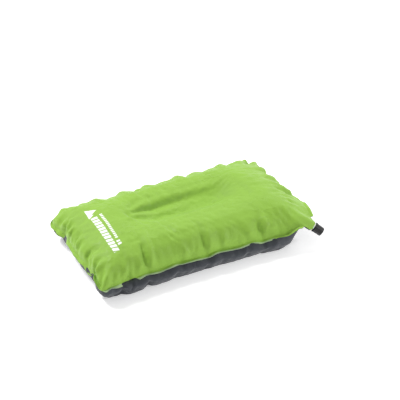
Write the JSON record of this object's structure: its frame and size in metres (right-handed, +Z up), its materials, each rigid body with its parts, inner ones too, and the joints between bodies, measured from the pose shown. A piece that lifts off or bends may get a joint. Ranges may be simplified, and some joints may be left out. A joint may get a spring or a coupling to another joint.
{
  "type": "self-inflating camp pillow",
  "caption": "Rectangular self-inflating camp pillow: welded two-tone fabric envelope over a foam core, dished along the middle, with a black twist valve in a neck at one corner.",
  "frame": {"origin": "centre of the flat underside that the pillow rests on", "axes": "+X along the length towards the end with the valve, +Y across the width with the valve at the -Y corner, +Z up from the resting face to the crown"},
  "size_m": [0.5111, 0.2814, 0.098],
  "materials": {
    "lime_polyester": "matte",
    "grey_polyester": "matte",
    "pu_foam": "matte",
    "milky_tpu": "satin",
    "black_abs": "satin",
    "silicone_rubber": "matte",
    "spring_clip": "satin"
  },
  "bodies": {
    "root": {"top_skin": "lime_polyester", "bottom_skin": "grey_polyester", "foam_core": "pu_foam", "valve_base": "milky_tpu", "valve_stem": "black_abs", "plug_seal": "silicone_rubber"},
    "seal": {"knob_seal": "silicone_rubber"},
    "knob": {"valve_knob": "black_abs", "stop_ring": "spring_clip"}
  },
  "joints": [
    {"name": "knob_lift", "type": "slide", "parent": "root", "child": "seal", "axis": [0.6785, -0.4406, -0.5878], "range_m": [0, 0.004]},
    {"name": "knob_twist", "type": "hinge", "parent": "seal", "child": "knob", "pos_m": [0.245, -0.1265, 0.043], "axis": [0.6785, -0.4406, -0.5878], "range_deg": [0, 360]}
  ],
  "couplings": [
    {"joint": "knob_twist", "follows": "knob_lift", "rad_per_m": 1570.8}
  ]
}
